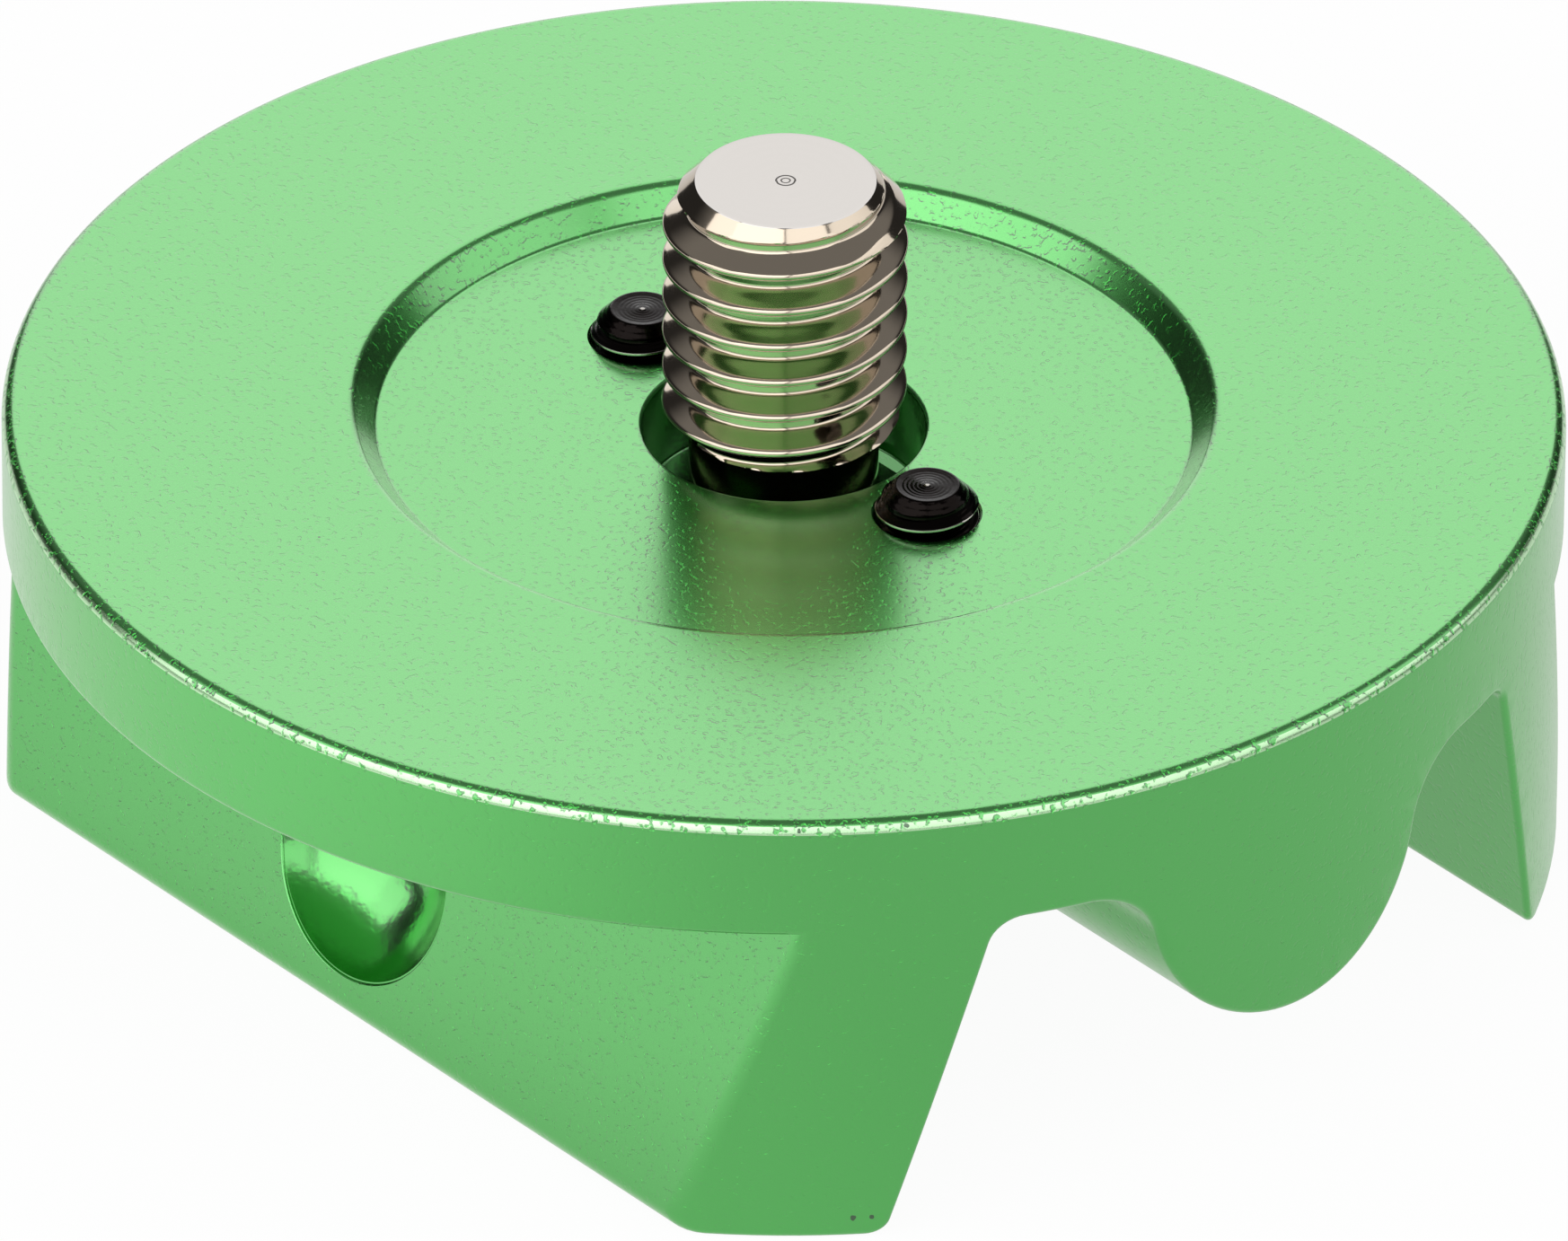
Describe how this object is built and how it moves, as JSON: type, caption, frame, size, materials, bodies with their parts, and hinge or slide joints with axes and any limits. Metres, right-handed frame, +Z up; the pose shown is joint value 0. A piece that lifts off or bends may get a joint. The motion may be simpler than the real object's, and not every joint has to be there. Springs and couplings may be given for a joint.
{
  "type": "ball head adapter",
  "caption": "Round green aluminium plate with a threaded stud between small set screws on top and a straight dovetail foot below, which carries a ball head in a dovetail clamp.",
  "frame": {"origin": "under the stud's axis, at the level of the foot's lowest faces", "axes": "+Z up along the stud, +X along the dovetail, so that the dimpled flank faces -Y"},
  "size_m": [0.06, 0.06, 0.0285],
  "materials": {
    "anodised_aluminium": "bead blasted, green anodised",
    "stainless_steel": "bright turned",
    "black_steel": "black oxide"
  },
  "bodies": {
    "plate": {"adapter_plate": "anodised_aluminium", "stud": "stainless_steel"},
    "front_screw": {"set_screw_front": "black_steel"},
    "rear_screw": {"set_screw_rear": "black_steel"}
  },
  "joints": [
    {"name": "front_screw_rise", "type": "slide", "parent": "plate", "child": "front_screw", "axis": [0, 0, 1], "range_m": [-0.00125, 0.0006]},
    {"name": "rear_screw_rise", "type": "slide", "parent": "plate", "child": "rear_screw", "axis": [0, 0, 1], "range_m": [-0.00125, 0.0006]}
  ]
}
